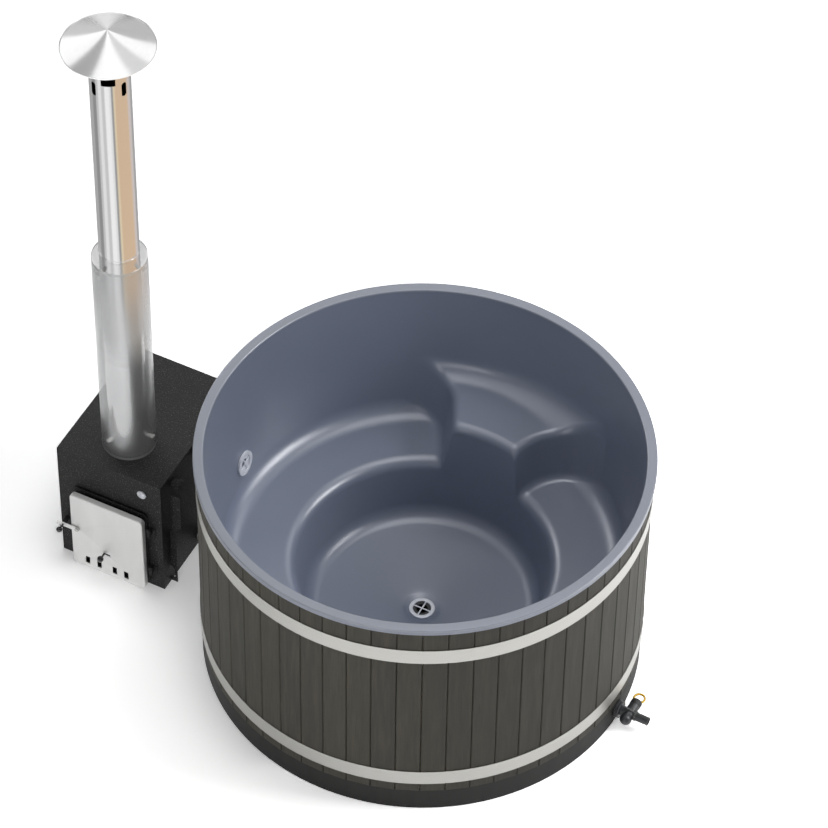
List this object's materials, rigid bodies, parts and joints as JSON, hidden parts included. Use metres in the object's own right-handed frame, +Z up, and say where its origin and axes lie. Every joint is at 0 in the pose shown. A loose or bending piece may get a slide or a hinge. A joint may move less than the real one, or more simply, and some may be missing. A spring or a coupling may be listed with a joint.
{
  "type": "hot tub",
  "caption": "Round hot tub in upright planks with a moulded liner, ring bench and entry step, a wood-fired heater alongside, its perforated chimney guard and a drain valve.",
  "frame": {"origin": "middle of the tub at floor level", "axes": "+Z up along the tub's axis; the heater stands on the -X side; the person looking at it stands on the -Y side"},
  "size_m": [2.2782, 1.7715, 2.712],
  "materials": {
    "shell": "satin",
    "stained_wood": "stained",
    "hoop_steel": "satin",
    "bolt_steel": "satin",
    "dark_board": "matt",
    "bare_wood": "raw",
    "wool": "soft",
    "polished_steel": "polished",
    "black_plastic": "matt",
    "grey_plastic": "matt",
    "ball_metal": "polished",
    "orange_plastic": "satin",
    "strap_plastic": "matt",
    "black_rubber": "matt",
    "black_coat": "textured powder coat",
    "boiler_plate": "matt",
    "cast_grate": "raw",
    "door_steel": "brushed",
    "seal_rope": "woven",
    "knob": "glossy",
    "chimney_steel": "polished"
  },
  "bodies": {
    "tub": {"liner": "shell", "staves": "stained_wood", "hoop_upper": "hoop_steel", "hoop_lower": "hoop_steel", "hoop_bolts": "bolt_steel", "plinth_ring": "dark_board", "floor_board": "bare_wood", "base_joists": "bare_wood", "bottom_board": "bare_wood", "bench_posts": "bare_wood", "wall_insulation": "wool", "drain_body": "polished_steel", "drain_cover": "polished_steel", "drain_manifold": "black_plastic", "drain_pipe": "black_plastic", "feed_pipe": "black_plastic", "wall_flange": "grey_plastic", "lock_nut": "grey_plastic", "valve_body": "grey_plastic", "valve_tether": "strap_plastic", "return_body": "polished_steel", "return_nut": "black_plastic", "return_cover": "polished_steel", "hose_upper": "black_rubber", "hose_lower": "black_rubber", "hose_clamps": "bolt_steel", "heater_casing": "black_coat", "side_bracket": "black_coat", "side_port": "black_coat", "water_jacket": "boiler_plate", "jacket_feet": "boiler_plate", "grate": "cast_grate", "baffle_plate": "cast_grate", "stub_upper": "boiler_plate", "stub_lower": "boiler_plate", "front_plug": "polished_steel", "hinge_brackets": "black_coat", "hinge_pins": "bolt_steel", "latch_keeper": "door_steel", "flue_spigot": "boiler_plate", "pipe_lower": "chimney_steel", "pipe_upper": "chimney_steel", "pipe_joint_ring": "chimney_steel", "heat_guard": "chimney_steel", "guard_spacers": "bolt_steel", "rain_cap": "chimney_steel"},
    "door": {"door_panel": "door_steel", "door_lining": "door_steel", "door_gasket": "seal_rope", "hinge_knuckles": "black_coat", "latch_pivot": "bolt_steel", "damper_guides": "door_steel"},
    "latch": {"latch_bar": "door_steel", "latch_knob": "knob"},
    "damper": {"damper_plate": "door_steel", "damper_knob": "knob"},
    "drain_handle": {"valve_plug": "ball_metal", "valve_cap": "grey_plastic", "ring_handle": "orange_plastic"}
  },
  "joints": [
    {"name": "door_hinge", "type": "hinge", "parent": "tub", "child": "door", "pos_m": [-1.04456, 0.18632, 0.218], "axis": [0, 0, 1], "range_deg": [0, 110]},
    {"name": "latch_lift", "type": "hinge", "parent": "door", "child": "latch", "pos_m": [-1.33146, 0.29294, 0.218], "axis": [0.4415, 0.8973, 0], "range_deg": [0, 45]},
    {"name": "damper_slide", "type": "slide", "parent": "door", "child": "damper", "axis": [0.8973, -0.4415, 0], "range_m": [0, 0.022]},
    {"name": "drain_turn", "type": "hinge", "parent": "tub", "child": "drain_handle", "pos_m": [0.80684, -0.38257, 0.0576], "axis": [0.4695, 0.8829, 0], "range_deg": [0, 90]}
  ]
}
